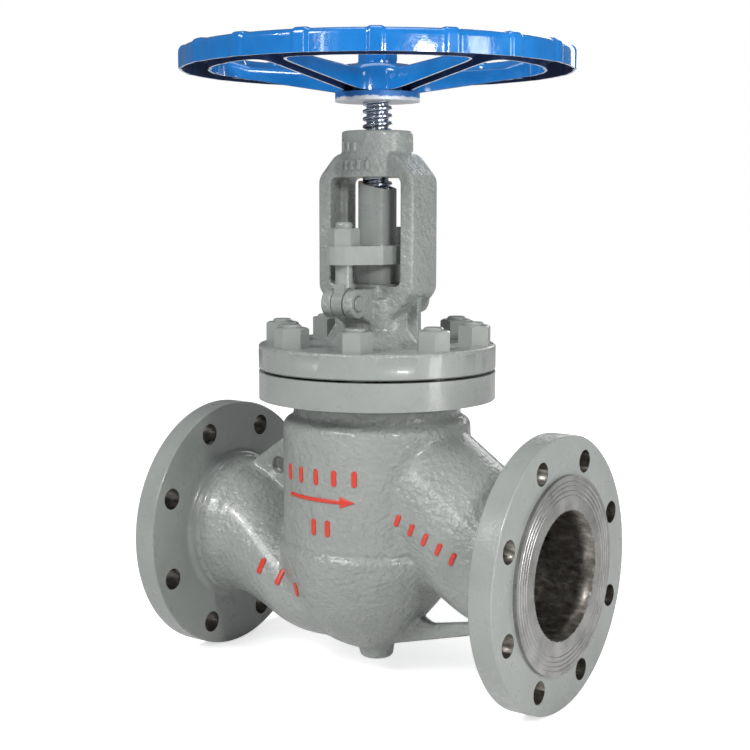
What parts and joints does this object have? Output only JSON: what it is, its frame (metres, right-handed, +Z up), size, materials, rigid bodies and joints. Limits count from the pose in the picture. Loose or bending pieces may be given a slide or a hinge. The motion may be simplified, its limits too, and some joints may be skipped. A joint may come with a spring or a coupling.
{
  "type": "globe valve",
  "caption": "Flanged straight-pattern globe valve with bolted bonnet, outside screw and yoke, gland and spoked handwheel.",
  "frame": {"origin": "centre of the inlet flange's raised face, on the pipe axis", "axes": "+X along the flow from inlet to outlet, +Z up the stem towards the handwheel"},
  "size_m": [0.35, 0.3154, 0.5185],
  "materials": {
    "grey_paint": "gloss enamel on cast and machined steel",
    "machined_steel": "turned",
    "hard_facing": "lapped",
    "bronze": "turned",
    "graphite": "matt woven graphite",
    "blue_paint": "gloss enamel on pressed steel",
    "hub_iron": "bare, lightly oxidised"
  },
  "bodies": {
    "root": {"backseat_bush": "bronze", "body": "grey_paint", "bonnet": "grey_paint", "bonnet_gasket": "graphite", "bonnet_nuts": "grey_paint", "bonnet_studs": "grey_paint", "packing_ring_1": "graphite", "packing_ring_2": "graphite", "packing_ring_3": "graphite", "packing_ring_4": "graphite", "packing_ring_5": "graphite", "packing_washer": "machined_steel", "seat_ring": "hard_facing", "stem_nut": "bronze", "stem_nut_screw": "machined_steel", "swing_bolt_back": "grey_paint", "swing_bolt_front": "grey_paint", "swing_pin_back": "grey_paint", "swing_pin_front": "grey_paint"},
    "disc": {"disc": "machined_steel", "disc_nut": "machined_steel"},
    "stem": {"stem": "machined_steel", "handwheel": "blue_paint", "wheel_hub": "hub_iron", "wheel_washer": "blue_paint", "wheel_nut": "blue_paint"},
    "gland": {"gland_plate": "grey_paint", "gland_bush": "grey_paint", "stem_sleeve": "grey_paint"},
    "gland_nut_front": {"gland_nut_front": "grey_paint"},
    "gland_nut_back": {"gland_nut_back": "grey_paint"}
  },
  "joints": [
    {"name": "disc_lift", "type": "slide", "parent": "root", "child": "disc", "axis": [0, 0, 1], "range_m": [0, 0.027]},
    {"name": "stem_turn", "type": "hinge", "parent": "disc", "child": "stem", "pos_m": [0.175, 0, 0.3], "axis": [0, 0, 1], "range_deg": [0, 1620]},
    {"name": "gland_slide", "type": "slide", "parent": "root", "child": "gland", "axis": [0, 0, 1], "range_m": [0, 0.0015]},
    {"name": "gland_nut_front_turn", "type": "hinge", "parent": "gland", "child": "gland_nut_front", "pos_m": [0.175, -0.046, 0.255], "axis": [0, 0, 1], "range_deg": [0, 270]},
    {"name": "gland_nut_back_turn", "type": "hinge", "parent": "gland", "child": "gland_nut_back", "pos_m": [0.175, 0.046, 0.255], "axis": [0, 0, 1], "range_deg": [0, 270]}
  ],
  "couplings": [
    {"joint": "disc_lift", "follows": "stem_turn", "m_per_rad": 0.00095493},
    {"joint": "gland_nut_front_turn", "follows": "gland_slide", "rad_per_m": 3141.6},
    {"joint": "gland_nut_back_turn", "follows": "gland_slide", "rad_per_m": 3141.6}
  ]
}
